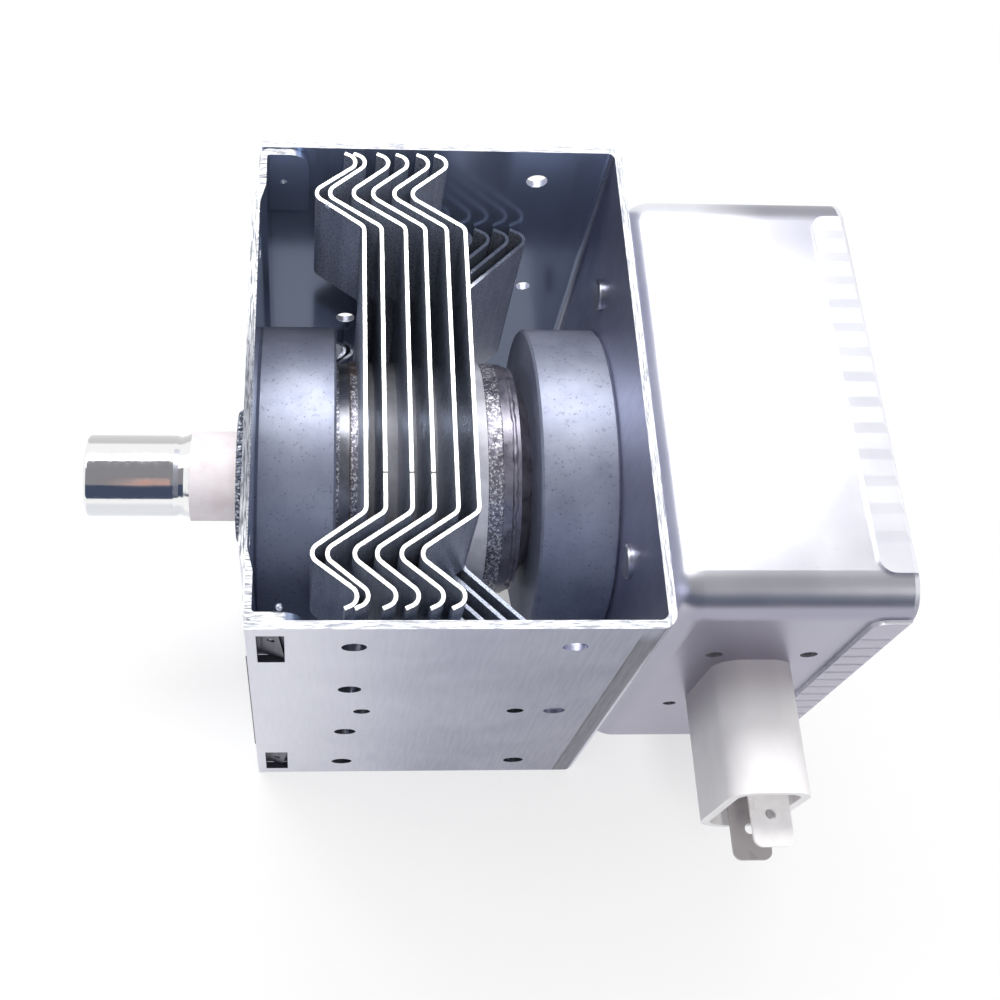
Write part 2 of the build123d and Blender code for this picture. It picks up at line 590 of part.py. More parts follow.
def filter_box():
    """Deep-drawn box: closed against the yoke, open under the lid."""
    t = BOX_SHEET
    outer = rounded_box(BOX_LENGTH, BOX_WIDTH, BOX_DEPTH, BOX_EDGE_RADIUS)
    inner = rounded_box(BOX_LENGTH - t, BOX_WIDTH - 2 * t, BOX_DEPTH - 2 * t, BOX_EDGE_RADIUS - t)
    body = Pos(BOX_START_X + BOX_LENGTH / 2, BOX_OFFSET_Y, 0) * (outer - Pos(t / 2, 0, 0) * inner)
    body -= drill_x(BOX_START_X, BOX_START_X + t, STEM_HOLE_RADIUS)
    for y, z in RIVET_PLACES:
        body -= drill_x(BOX_START_X, BOX_START_X + t, RIVET_HOLE_RADIUS, y, z)
    y0, y1 = BOX_FACE_Y - CUT_OVERRUN, BOX_INNER_Y + CUT_OVERRUN
    body -= connector_bar(y0, y1, CONNECTOR_NECK_INSET - FIT_GAP)
    for dx in (-BOX_HOLE_SPACING / 2, BOX_HOLE_SPACING / 2):
        body -= rod_y(y0, y1, BOX_HOLE_RADIUS, CONNECTOR_X + dx, CONNECTOR_HIGH_Z + BOX_HOLE_GAP)
    vent_x = CONNECTOR_X - CONNECTOR_WIDTH / 2 - BOX_VENT_GAP
    return body - rod_y(y0, y1, BOX_VENT_RADIUS, vent_x, CONNECTOR_LOW_Z + BOX_VENT_RISE)


def lid_lip(reach, length):
    """Lip folded down along one side of the lid, with its outer edge and lower corners rounded."""
    side, root = reach / 2, reach / 2 - LID_BEND_RADIUS
    half_span = length / 2 - BOX_EDGE_RADIUS + LIP_END_GAP
    outline = Polyline([(root, 0), (root, LID_SHEET), (side + LID_SHEET, LID_SHEET),
                        (side + LID_SHEET, -LID_LIP), (side, -LID_LIP), (side, 0)], close=True)
    lip = extrude(Plane.XZ * make_face(outline), half_span, both=True)
    lip = fillet(lip.edges().filter_by(Axis.X).group_by(Axis.Z)[0], LIP_CORNER_RADIUS)
    fold = lip.edges().filter_by(Axis.Y).group_by(Axis.Z)[-1].sort_by(Axis.X)[-1]
    lip = fillet(fold, LID_BEND_RADIUS)
    # Saw-tooth crimps that grip the box's rim
    x0, x1 = side + LID_SHEET - CRIMP_DEPTH, side + LID_SHEET + CRIMP_DEPTH
    for index in range(CRIMP_COUNT):
        y = (index - (CRIMP_COUNT - 1) / 2) * CRIMP_PITCH
        tooth = make_face(Polyline([(x0, y), (x1, y), (x1, y - 2 * CRIMP_LENGTH)], close=True))
        lip -= extrude(tooth, LID_LIP + LID_SHEET, both=True)
    return lip


def filter_lid():
    """Lid folded over the box's rim, with a lip along each of its four sides."""
    lid = extrude(RectangleRounded(BOX_DEPTH, BOX_WIDTH, BOX_EDGE_RADIUS), LID_SHEET)
    for half_turn in (0, 180):
        lid += Rot(0, 0, half_turn) * lid_lip(BOX_DEPTH, BOX_WIDTH)
        lid += Rot(0, 0, half_turn + 90) * lid_lip(BOX_WIDTH, BOX_DEPTH)
    return Pos(BOX_END_X, BOX_OFFSET_Y, 0) * Rot(0, 90, 0) * lid


def connector_bar(y0, y1, inset):
    """Bar along Y with the connector's outline, set in all round by inset."""
    half = CONNECTOR_WIDTH / 2 - inset
    low, high = CONNECTOR_LOW_Z + inset, CONNECTOR_HIGH_Z - inset
    bar = block(CONNECTOR_X - half, CONNECTOR_X + half, y0, y1, low, high)
    edges = bar.edges().filter_by(Axis.Y).group_by(Axis.Z)
    bar = fillet(edges[0], CONNECTOR_LOW_CORNER - inset)
    edges = bar.edges().filter_by(Axis.Y).group_by(Axis.Z)
    return fillet(edges[-1], CONNECTOR_HIGH_CORNER - inset)


def terminal_bar(side, y0, y1, gap):
    """Flat bar on one terminal's place, larger all round by gap."""
    z = side * TERMINAL_SPACING / 2
    half_x, half_z = TERMINAL_WIDTH / 2 + gap, TERMINAL_THICKNESS / 2 + gap
    return block(TERMINAL_X - half_x, TERMINAL_X + half_x, y0, y1, z - half_z, z + half_z)


def connector_shell():
    """Moulded shroud round the two terminals, with a neck through the box's wall."""
    body = connector_bar(MOUTH_Y, BOX_FACE_Y, 0)
    body += connector_bar(BOX_FACE_Y, BOX_INNER_Y, CONNECTOR_NECK_INSET)
    body -= connector_bar(MOUTH_Y - CUT_OVERRUN, SOCKET_FLOOR_Y, CONNECTOR_WALL)
    for side in (-1, 1):
        body -= terminal_bar(side, MOUTH_Y, BOX_INNER_Y + CUT_OVERRUN, FIT_GAP)
    return body


def capacitor_block():
    """Moulded capacitor body inside the box, behind the connector."""
    body = connector_bar(BOX_INNER_Y, CAPACITOR_BACK_Y, CAPACITOR_INSET)
    for side in (-1, 1):
        body -= terminal_bar(side, BOX_INNER_Y - CUT_OVERRUN, CAPACITOR_BACK_Y + CUT_OVERRUN, FIT_GAP)
    return body


def terminal(side):
    """Push-on blade that runs through the shroud and the capacitor."""
    tip = MOUTH_Y - TERMINAL_REACH
    blade = terminal_bar(side, tip, CHOKE_START_Y, 0)
    blade = fillet(blade.edges().filter_by(Axis.Z).group_by(Axis.Y)[0], TERMINAL_CORNER_RADIUS)
    z = side * TERMINAL_SPACING / 2
    hole = Cylinder(TERMINAL_HOLE_RADIUS, 2 * TERMINAL_THICKNESS)
    return blade - Pos(TERMINAL_X, tip + TERMINAL_HOLE_SETBACK, z) * hole


def choke_coil(side):
    """Choke coil as the envelope of its turns, with a tail to the cathode's lead."""
    y0, y1 = CHOKE_START_Y, CHOKE_PAST_AXIS
    z = side * CHOKE_SPACING / 2
    coil = rod_y(y0, y1, CHOKE_RADIUS, CONNECTOR_X, z)
    coil -= rod_y(y0 - CUT_OVERRUN, y1 + CUT_OVERRUN, CHOKE_RADIUS - CHOKE_WIRE, CONNECTOR_X, z)
    wire_x = CONNECTOR_X - CHOKE_RADIUS + CHOKE_WIRE / 2
    pin_z = LEAD_OFFSET if side > 0 else 0
    pin_x = PIN_END_X + LEAD_RADIUS + FIT_GAP
    top = y1 + CHOKE_TAIL_RISE
    corners = [(wire_x, y1, z), (wire_x, top, z), (pin_x, top, pin_z), (pin_x, 0, pin_z)]
    path = FilletPolyline(*corners, radius=CHOKE_WIRE)
    return coil + sweep(Plane(corners[0], z_dir=(0, 1, 0)) * Circle(LEAD_RADIUS), path)


def choke_core(side):
    """Ferrite rod inside a choke coil."""
    radius = CHOKE_RADIUS - CHOKE_WIRE - LEAD_GAP
    return rod_y(CHOKE_START_Y, CHOKE_PAST_AXIS, radius, CONNECTOR_X, side * CHOKE_SPACING / 2)


def box_rivets():
    """Rivets that hold the filter box to the yoke's end wall."""
    rivets = []
    tail_x = BOX_START_X + BOX_SHEET
    for y, z in RIVET_PLACES:
        head = rod_x(END_WALL_X - RIVET_HEAD_HEIGHT, END_WALL_X, RIVET_HEAD_RADIUS, y, z)
        head = fillet(head.edges().group_by(Axis.X)[0], RIVET_HEAD_HEIGHT / 2)
        shank = rod_x(END_WALL_X, tail_x, RIVET_RADIUS, y, z)
        tail = rod_x(tail_x, tail_x + RIVET_HEAD_HEIGHT, RIVET_HEAD_RADIUS, y, z)
        rivets.append(head + shank + tail)
    return Compound(rivets)


def all_parts():
    """Every piece of the magnetron by its name."""
    parts = {
        "yoke_frame": yoke_frame(),
        "yoke_plate": yoke_plate(),
        "magnet_antenna_side": magnet(NEAR_MAGNET_X),
        "magnet_filter_side": magnet(FAR_MAGNET_X),
        "anode_shell": anode_shell(),
        "pole_piece_antenna_side": pole_piece_antenna(),
        "pole_piece_filter_side": pole_piece(ANODE_END_X, -1, POLE_RIM_WIDTH),
        "strap_small_antenna_side": strap(STRAP_SMALL_RADIUS, -1),
        "strap_large_antenna_side": strap(STRAP_LARGE_RADIUS, -1),
        "strap_small_filter_side": strap(STRAP_SMALL_RADIUS, 1),
        "strap_large_filter_side": strap(STRAP_LARGE_RADIUS, 1),
        "seal_cup_antenna_side": seal_cup_antenna(),
        "seal_cup_filter_side": seal_cup_filter(),
        "antenna_ceramic": antenna_ceramic(),
        "exhaust_tube": exhaust_tube(),
        "antenna_lead": antenna_lead(),
        "antenna_cap": antenna_cap(),
        "gasket": gasket(),
        "gasket_washer": gasket_washer(),
        "stem_ceramic": stem_ceramic(),
        "filament": filament(),
        "end_hat_antenna_side": end_hat(-1),
        "end_hat_filter_side": end_hat(1),
        "cathode_lead_centre": cathode_lead(-1),
        "cathode_lead_side": cathode_lead(1),
        "filter_box": filter_box(),
        "filter_lid": filter_lid(),
        "box_rivets": box_rivets(),
        "connector_shell": connector_shell(),
        "capacitor_block": capacitor_block(),
        "terminal_front": terminal(1),
        "terminal_rear": terminal(-1),
        "choke_coil_front": choke_coil(1),
        "choke_coil_rear": choke_coil(-1),
        "choke_core_front": choke_core(1),
        "choke_core_rear": choke_core(-1),
    }
    for index in range(FIN_COUNT):
        parts["cooling_fin_%d" % (index + 1)] = fin(index)
    for index in range(VANE_COUNT):
        parts["vane_%d" % (index + 1)] = vane(index)
    return parts


if __name__ == "__main__":
    os.makedirs("parts", exist_ok=True)
    for name, shape in all_parts().items():
        export_step(shape, "parts/%s.step" % name)
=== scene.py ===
from math import cos, pi, radians, sin

import bpy
from mathutils import Matrix, Vector, noise


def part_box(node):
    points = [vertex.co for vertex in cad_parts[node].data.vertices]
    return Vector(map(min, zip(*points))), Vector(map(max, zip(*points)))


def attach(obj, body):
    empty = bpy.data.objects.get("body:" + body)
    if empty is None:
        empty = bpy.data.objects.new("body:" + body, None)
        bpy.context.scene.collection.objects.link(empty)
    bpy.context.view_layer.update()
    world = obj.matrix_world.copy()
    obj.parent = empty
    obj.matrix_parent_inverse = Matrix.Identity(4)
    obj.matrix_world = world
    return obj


# Looks of the magnetron around its CAD model: surfaces, light and the photograph's camera.
# Lengths named here are in millimetres unless they say otherwise.
MM = 0.001

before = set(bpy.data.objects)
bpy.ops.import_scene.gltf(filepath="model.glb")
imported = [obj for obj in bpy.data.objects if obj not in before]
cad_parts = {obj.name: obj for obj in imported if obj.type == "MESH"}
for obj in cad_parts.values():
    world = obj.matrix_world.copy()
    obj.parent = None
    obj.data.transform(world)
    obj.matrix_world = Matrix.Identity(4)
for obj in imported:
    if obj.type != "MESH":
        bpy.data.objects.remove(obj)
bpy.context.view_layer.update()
anode_low, anode_high = (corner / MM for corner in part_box("anode_shell"))
cup_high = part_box("seal_cup_filter_side")[1] / MM
gasket_low, gasket_high = (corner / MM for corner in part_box("gasket"))

# Sockets of a colour mix: its two colours and the result
MIX_FIRST = 6
MIX_SECOND = 7
MIX_RESULT = 2

# Ranges that most, or nearly all, of a noise's values fill
USUAL = (0.3, 0.7)
WHOLE = (0.25, 0.75)


def shade(code):
    """Linear colour from a six-digit screen colour code, by the standard curve of screens."""
    parts = [int(code[i:i + 2], 16) / 255 for i in (0, 2, 4)]
    return tuple(c / 12.92 if c <= 0.04045 else ((c + 0.055) / 1.055) ** 2.4 for c in parts) + (1.0,)


class Nodes:
    """Short calls that add nodes to a tree."""

    def __init__(self, tree):
        self.tree = tree

    def add(self, kind, **settings):
        node = self.tree.nodes.new(kind)
        for key, value in settings.items():
            setattr(node, key, value)
        return node

    def feed(self, socket, value):
        """Sets an input to a constant, or links a node's output to it."""
        if isinstance(value, bpy.types.NodeSocket):
            self.tree.links.new(value, socket)
        else:
            socket.default_value = value

    def math(self, operation, first, second=0.0):
        node = self.add("ShaderNodeMath", operation=operation)
        self.feed(node.inputs[0], first)
        self.feed(node.inputs[1], second)
        return node.outputs[0]

    def both(self, first, second):
        """Where two masks overlap."""
        return self.math("MULTIPLY", first, second)

    def either(self, first, second):
        """Where at least one of two masks is."""
        return self.math("MAXIMUM", first, second)

    def rest(self, value):
        """What a mask leaves out."""
        return self.math("SUBTRACT", 1.0, value)

    def ramp(self, value, low, high, start, end, kind="LINEAR"):
        """Takes the values from low to high to those from start to end, and stops there."""
        node = self.add("ShaderNodeMapRange", interpolation_type=kind)
        for socket, number in zip(("Value", "From Min", "From Max", "To Min", "To Max"),
                                  (value, low, high, start, end)):
            self.feed(node.inputs[socket], number)
        return node.outputs[0]

    def mask(self, value, low, high, start=0.0, end=1.0):
        """Smooth step of a value from low to high."""
        return self.ramp(value, low, high, start, end, "SMOOTHSTEP")

    def band(self, value, start, end, soft):
        """1 between start and end, 0 outside, with soft borders."""
        rise = self.mask(value, start - soft, start + soft)
        fall = self.mask(value, end + soft, end - soft)
        return self.both(rise, fall)

    def seen_or_mirrored(self):
        """1 for what the camera, a mirror or glass shows, 0 for light."""
        rays = self.add("ShaderNodeLightPath")
        mirrored = self.either(rays.outputs["Is Glossy Ray"], rays.outputs["Is Transmission Ray"])
        return self.either(rays.outputs["Is Camera Ray"], mirrored)


class Surface(Nodes):
    """A procedural material; lengths are in millimetres."""

    def __init__(self, name, metallic=0.0):
        self.name = name
        self.material = bpy.data.materials.new(name)
        self.material.use_nodes = True
        super().__init__(self.material.node_tree)
        self.shader = self.tree.nodes["Principled BSDF"]
        self.metal(metallic)
        self.place = self.add("ShaderNodeTexCoord")
        self.relief = None

    def coordinate(self, axis):
        """Place along X, Y or Z."""
        split = self.add("ShaderNodeSeparateXYZ")
        self.feed(split.inputs[0], self.place.outputs["Object"])
        return self.math("MULTIPLY", split.outputs[axis], 1 / MM)

    def off_middle(self, axis):
        """Distance from the origin along X, Y or Z, either way."""
        return self.math("ABSOLUTE", self.coordinate(axis))

    def normal(self, axis):
        """How far the surface faces along an axis, from -1 to 1."""
        split = self.add("ShaderNodeSeparateXYZ")
        self.feed(split.inputs[0], self.place.outputs["Normal"])
        return split.outputs[axis]

    def facing(self, axis):
        """How far the surface faces along an axis, either way, from 0 to 1."""
        return self.math("ABSOLUTE", self.normal(axis))

    def scaled(self, size):
        """Object coordinates in units of a size, or of three sizes."""
        sizes = size if isinstance(size, tuple) else (size, size, size)
        mapping = self.add("ShaderNodeMapping")
        self.feed(mapping.inputs["Vector"], self.place.outputs["Object"])
        mapping.inputs["Scale"].default_value = [1 / (s * MM) for s in sizes]
        return mapping.outputs[0]

    def noise(self, size, detail, roughness, distortion=0.0):
        """Noise with grains of one size, or of three sizes along X, Y and Z."""
        node = self.add("ShaderNodeTexNoise")
        self.feed(node.inputs["Vector"], self.scaled(size))
        node.inputs["Scale"].default_value = 1.0
        node.inputs["Detail"].default_value = detail
        node.inputs["Roughness"].default_value = roughness
        node.inputs["Distortion"].default_value = distortion
        return node.outputs[0]

    def cells(self, size):
        """Distance to the nearest of scattered points, in units of a size."""
        node = self.add("ShaderNodeTexVoronoi")
        self.feed(node.inputs["Vector"], self.scaled(size))
        node.inputs["Scale"].default_value = 1.0
        return node.outputs["Distance"]

    def mix(self, factor, first, second):
        """Goes from the first colour to the second as the factor goes from 0 to 1."""
        node = self.add("ShaderNodeMix", data_type="RGBA")
        self.feed(node.inputs["Factor"], factor)
        self.feed(node.inputs[MIX_FIRST], first)
        self.feed(node.inputs[MIX_SECOND], second)
        return node.outputs[MIX_RESULT]

    def tones(self, factor, dark, light):
        """Colours between two screen codes."""
        return self.mix(factor, shade(dark), shade(light))

    def tint(self, tone, factor, code):
        """Lays a screen colour over a tone where a mask is."""
        return self.mix(factor, tone, shade(code))

    def grey(self, value):
        """A number as a neutral colour, for mixing."""
        node = self.add("ShaderNodeCombineXYZ")
        for socket in node.inputs:
            self.feed(socket, value)
        return node.outputs[0]

    def colour(self, value):
        self.feed(self.shader.inputs["Base Color"], value)

    def rough(self, value):
        self.feed(self.shader.inputs["Roughness"], value)

    def metal(self, value):
        self.feed(self.shader.inputs["Metallic"], value)

    def bump(self, height, distance, strength):
        """Adds relief of a height map, over what was added before."""
        node = self.add("ShaderNodeBump")
        node.inputs["Distance"].default_value = distance * MM
        node.inputs["Strength"].default_value = strength
        self.feed(node.inputs["Height"], height)
        if self.relief:
            self.feed(node.inputs["Normal"], self.relief)
        self.relief = node.outputs[0]
        self.feed(self.shader.inputs["Normal"], self.relief)


# Where the finish of the yoke and its plate changes, and where light and shade are painted on them, each as
# the start and end of a smooth step or a band.
# The side walls lie from 40.15 to 41.4 off the middle along Y, and the end wall from 60.75 to 62 along X.
# Painted reflection: lighter towards the plate
PAINTED_LIGHT_X = (36.0, 2.0)
# Painted shade on the near wall towards the end wall
NEAR_WALL_SHADE_X = (16.0, 60.0)
BELOW_RIM_Z = (43.0, 37.0)
# Painted reflection of the bend: a dark strip on the near wall and a darker line in it
BEND_SHADE_X = (57.4, 60.3)
BEND_DARKEST_X = (57.3, 57.6)
END_WALL_X = (60.2, 60.6)
PLATE_X = (1.2, 1.0)
INNER_Y = (41.2, 41.0)
INNER_X = (60.7, 60.4)
SIDE_WALL_Y = (40.2, 40.3)
SIDE_WALL_X = (2.0, 59.7)
SHORT_OF_EDGE_Z = (44.4, 44.0)
LIGHT_HOLES_X = (46.0, 46.4)
LIGHT_HOLES_Z = (-5.0, -4.5)
DARK_EDGE_Y = (-26.0, 6.0)

# Place along Y times the normal's Y, which is large where a side wall or a corner tab faces outward
OUTWARD = (25.0, 30.0)

# Steps of a face's normal that pick the near wall alone, with the start of its bend and with more of it,
# all but the plate's front, the walls of holes, and cut edges
NEAR_WALL = (-0.8, -0.95)
NEAR_WALL_AND_BEND = (-0.5, -0.8)
NEAR_WALL_AND_CORNER = (-0.3, -0.6)
OFF_PLATE_FRONT = (-0.7, -0.5)
HOLE_WALL = (0.5, 0.3)
CUT_FACE = (0.9, 0.98)

# Sizes of the shear marks' noise on sheet that runs along X and along Y
MARKS_ALONG_X = (3.0, 0.25, 2.0)
MARKS_ALONG_Y = (0.25, 3.0, 2.0)


def plated_steel(name, dark, light, satin, worn, dull, recess_shade):
    """Zinc-plated sheet: faint clouds, grain, scuffs, bright streaky cut edges, and painted light and
    shade: a painted bluish reflection on inner faces, painted reflections on the near wall, and painted
    shade in recesses.

    satin is the range of roughness, worn the dark tone of cut edges, dull how far these darken beside the
    antenna, and the last argument the colour of painted shade in recesses.
    """
    s = Surface(name)
    x = s.coordinate("X")
    y = s.coordinate("Y")
    z = s.coordinate("Z")
    face_y = s.normal("Y")
    clouds = s.noise(16.0, detail=3.0, roughness=0.5, distortion=0.3)
    grain = s.noise((0.6, 0.6, 9.0), detail=3.0, roughness=0.6)
    scuffs = s.noise((7.0, 7.0, 0.7), detail=4.0, roughness=0.75, distortion=1.2)
    tone = s.tones(s.mask(clouds, *USUAL), dark, light)
    tone = s.tint(tone, s.mask(scuffs, 0.66, 0.8, end=0.25), "6f7484")
    # Painted reflection, lighter towards the plate
    tone = s.tint(tone, s.mask(x, *PAINTED_LIGHT_X, end=0.8), "e2e3ec")
    # Painted shade on the near wall towards the end wall
    tone = s.tint(tone, s.both(s.mask(x, *NEAR_WALL_SHADE_X, end=0.5), s.mask(face_y, *NEAR_WALL)), "666779")
    # Painted reflections of the bend: a dark strip with a darker line on the near wall, then a light strip
    # on the bend
    below_rim = s.both(s.mask(z, *BELOW_RIM_Z), s.mask(face_y, *NEAR_WALL_AND_BEND))
    tone = s.tint(tone, s.both(s.band(x, *BEND_SHADE_X, soft=0.25), below_rim), "5f606f")
    tone = s.tint(tone, s.both(s.band(x, *BEND_DARKEST_X, soft=0.15), below_rim), "3e404d")
    bend_highlight = s.both(s.mask(x, *END_WALL_X), s.mask(face_y, *NEAR_WALL_AND_CORNER))
    tone = s.tint(tone, bend_highlight, "d4d5e2")
    # All that lies within the outer faces, and of it what faces outward, as in recesses, where shade is
    # painted
    within = s.both(s.mask(s.off_middle("Y"), *INNER_Y), s.mask(x, *INNER_X))
    within = s.both(within, s.mask(s.normal("X"), *OFF_PLATE_FRONT))
    outward = s.mask(s.math("MULTIPLY", y, face_y), *OUTWARD)
    # The dimple in the near wall and the hole above it get no painted shade and stay as light as the wall
    light_holes = s.both(s.mask(x, *LIGHT_HOLES_X), s.mask(z, *LIGHT_HOLES_Z))
    other_holes = s.rest(light_holes)
    # Painted shade in the recesses that face outward
    tone = s.tint(tone, s.both(s.both(within, outward), other_holes), recess_shade)
    # Painted shade on the walls of the holes in the side walls
    rim = s.both(s.mask(s.off_middle("Y"), *SIDE_WALL_Y), s.mask(s.facing("Y"), *HOLE_WALL))
    rim = s.both(rim, s.band(x, *SIDE_WALL_X, soft=0.3))
    rim = s.both(rim, s.mask(s.off_middle("Z"), *SHORT_OF_EDGE_Z))
    tone = s.tint(tone, s.both(rim, other_holes), "63656f")
    inside = s.both(s.both(within, s.rest(outward)), s.rest(rim))
    # Painted reflection: a bluish tint on the inner faces for the dark blue room they mirror
    tone = s.tint(tone, inside, "98a5c0")
    # Shear marks run along the sheet: along Y on the plate and the end wall, along X on the side walls
    along_y = s.either(s.mask(x, *END_WALL_X), s.mask(x, *PLATE_X))
    marks = s.mix(along_y, s.grey(s.noise(MARKS_ALONG_X, detail=3.0, roughness=0.7)),
                  s.grey(s.noise(MARKS_ALONG_Y, detail=3.0, roughness=0.7)))
    cut = s.both(s.mask(s.facing("Z"), *CUT_FACE), s.rest(rim))
    edge = s.tones(s.mask(marks, 0.36, 0.58), worn, "f4f5f8")
    dark_edge = s.tones(s.mask(marks, 0.4, 0.62), "363a46", "7d818e")
    edge = s.mix(s.both(s.band(y, *DARK_EDGE_Y, soft=8.0), dull), edge, dark_edge)
    s.colour(s.mix(cut, tone, edge))
    s.metal(s.both(s.mask(inside, 0.0, 1.0, start=0.92, end=0.72), s.mask(cut, 1.0, 0.0)))
    face_roughness = s.mix(inside, s.grey(s.mask(grain, *WHOLE, *satin)), s.grey(0.17))
    s.rough(s.mix(cut, face_roughness, s.grey(0.5)))
    s.bump(s.both(marks, cut), distance=0.06, strength=0.4)
    s.bump(grain, distance=0.008, strength=0.5)
    return s


def ferrite(name):
    """Ground ferrite: satin dark blue-grey with fine pits and pale dust."""
    s = Surface(name, metallic=0.75)
    clouds = s.noise(9.0, detail=4.0, roughness=0.55)
    grit = s.noise(0.3, detail=3.0, roughness=0.75)
    specks = s.noise(0.8, detail=2.0, roughness=0.6)
    pits = s.cells(1.1)
    tone = s.tones(s.mask(clouds, *USUAL), "9ca1b4", "b3b8c8")
    tone = s.tint(tone, s.mask(grit, 0.62, 0.8, end=0.4), "d4d8e2")
    tone = s.tint(tone, s.mask(specks, 0.58, 0.72, end=0.5), "838899")
    s.colour(s.tint(tone, s.mask(pits, 0.02, 0.2, start=0.55, end=0.0), "2c313d"))
    s.rough(s.mask(grit, *USUAL, start=0.48, end=0.6))
    s.bump(grit, distance=0.02, strength=0.4)
    s.bump(pits, distance=0.03, strength=0.2)
    return s


def plain_metal(name, dark, light, satin):
    """Bare metal with cloudy tone and fine grain; satin is its range of roughness."""
    s = Surface(name, metallic=1.0)
    clouds = s.noise(4.0, detail=4.0, roughness=0.6)
    grain = s.noise(0.25, detail=2.0, roughness=0.7)
    s.colour(s.tones(s.mask(clouds, *USUAL), dark, light))
    s.rough(s.mask(clouds, *WHOLE, *satin))
    s.bump(grain, distance=0.01, strength=0.4)
    return s


# From the front blade to the rear one, which gets painted shade
REAR_BLADE_SHADE_Z = (1.0, -1.0)


def tab_metal(name):
    """Plated terminal tabs: pale, with painted shade on the rear one."""
    s = Surface(name, metallic=0.05)
    clouds = s.noise(4.0, detail=4.0, roughness=0.6)
    grain = s.noise(0.25, detail=2.0, roughness=0.7)
    tone = s.tones(s.mask(clouds, *USUAL), "f1eeee", "fdfbfb")
    # Painted shade on the rear blade
    s.colour(s.tint(tone, s.mask(s.coordinate("Z"), *REAR_BLADE_SHADE_Z, end=0.75), "8b8385"))
    s.rough(s.mask(clouds, *WHOLE, start=0.25, end=0.4))
    s.bump(grain, distance=0.01, strength=0.4)
    return s


# How far off the middle the fins' cut edges lie, and the row of small nicks across them
FIN_EDGE_Z = (25.0, 40.0)
NICK_X = (19.0, 30.0)
NICK_Y = (-18.5, -18.2)


def fin_metal(name):
    """Aluminium sheet: dull rolled faces and bright sheared edges."""
    s = Surface(name)
    streaks = s.noise((1.2, 1.2, 14.0), detail=3.0, roughness=0.6)
    stain = s.noise(6.0, detail=4.0, roughness=0.6)
    grit = s.noise(0.3, detail=2.0, roughness=0.7)
    tone = s.tones(s.mask(streaks, *USUAL), "b4bccd", "cbd1df")
    tone = s.tint(tone, s.mask(stain, 0.5, 0.8, end=0.3), "97a0b5")
    cut = s.both(s.mask(s.facing("Z"), 0.8, 0.95), s.mask(s.off_middle("Z"), *FIN_EDGE_Z))
    nick = s.both(s.band(s.coordinate("Y"), *NICK_Y, soft=0.12),
                  s.band(s.coordinate("X"), *NICK_X, soft=0.2))
    s.colour(s.tint(s.tint(tone, cut, "fbfcf6"), nick, "14171f"))
    s.metal(s.mask(cut, 0.0, 1.0, start=0.7, end=0.3))
    s.rough(s.mask(grit, *USUAL, start=0.24, end=0.38))
    s.bump(grit, distance=0.015, strength=0.4)
    return s


# The anode's browned end, and the brazing at both of its ends
BROWN_X = (21.0, 17.5)
BRAZED_X = (19.0, 18.0)
BRAZE_WIDTH = 2.6


def anode_metal(name):
    """Plated copper tube: turned rings, heat stains at one end."""
    s = Surface(name, metallic=0.2)
    rings = s.noise((0.25, 40.0, 40.0), detail=2.0, roughness=0.6)
    stain = s.noise(5.0, detail=4.0, roughness=0.6)
    tone = s.tones(s.mask(stain, *USUAL), "c9c9d2", "e6e6ec")
    brown = s.both(s.mask(s.coordinate("X"), *BROWN_X), s.mask(stain, 0.35, 0.6, start=0.4))
    s.colour(s.tint(tone, brown, "5b4c48"))
    s.rough(s.mask(stain, *USUAL, start=0.4, end=0.52))
    s.bump(rings, distance=0.02, strength=0.5)
    return s


def cup_metal(name):
    """Steel cups: smooth, with brazing beside the anode that has pale specks."""
    s = Surface(name, metallic=0.7)
    stain = s.noise(3.0, detail=4.0, roughness=0.65)
    specks = s.noise(0.5, detail=2.0, roughness=0.8)
    x = s.coordinate("X")
    brazed = s.either(s.mask(x, *BRAZED_X), s.band(x, anode_high.x, anode_high.x + BRAZE_WIDTH, soft=0.2))
    tone = s.tones(s.mask(stain, *USUAL), "76737f", "9c99a6")
    s.colour(s.tint(tone, s.both(s.mask(specks, 0.5, 0.6), brazed), "fafafc"))
    s.rough(s.mask(stain, *USUAL, start=0.25, end=0.5))
    s.bump(s.both(specks, brazed), distance=0.1, strength=0.6)
    return s


# The copper streak fades in along the cap and stops at its neck; it lies in a band of the cap's normal,
# whose steps also pick the far side and the near side, which get painted shade
STREAK_START_X = (-28.0, -18.0)
STREAK_END_X = (-13.9, -14.3)
STREAK_FACE = (-0.6, -0.45)
CAP_FAR_SIDE_SHADE = (0.43, 0.5)
CAP_NEAR_SIDE_SHADE = (-0.88, -0.94)


def chrome(name):
    """Bright plated cap with a copper streak where the plating is thin."""
    s = Surface(name)
    x = s.coordinate("X")
    face_y = s.normal("Y")
    thin = s.noise((7.0, 1.5, 1.5), detail=3.0, roughness=0.5)
    haze = s.noise(1.0, detail=3.0, roughness=0.7)
    along = s.both(s.mask(x, *STREAK_START_X), s.mask(x, *STREAK_END_X))
    streak = s.both(s.band(face_y, *STREAK_FACE, soft=0.06), along)
    bare = s.both(streak, s.mask(thin, 0.3, 0.6, start=0.5))
    # Painted shade on the cap's far side and near side
    tone = s.tones(s.mask(face_y, *CAP_FAR_SIDE_SHADE), "f4f4f5", "c9c8c8")
    tone = s.tint(tone, s.mask(face_y, *CAP_NEAR_SIDE_SHADE), "dcdee3")
    s.colour(s.tint(tone, bare, "e09a80"))
    s.metal(s.mask(bare, 0.0, 1.0, start=1.0, end=0.45))
    s.rough(s.mask(haze, *USUAL, start=0.06, end=0.14))
    s.bump(haze, distance=0.008, strength=0.3)
    return s


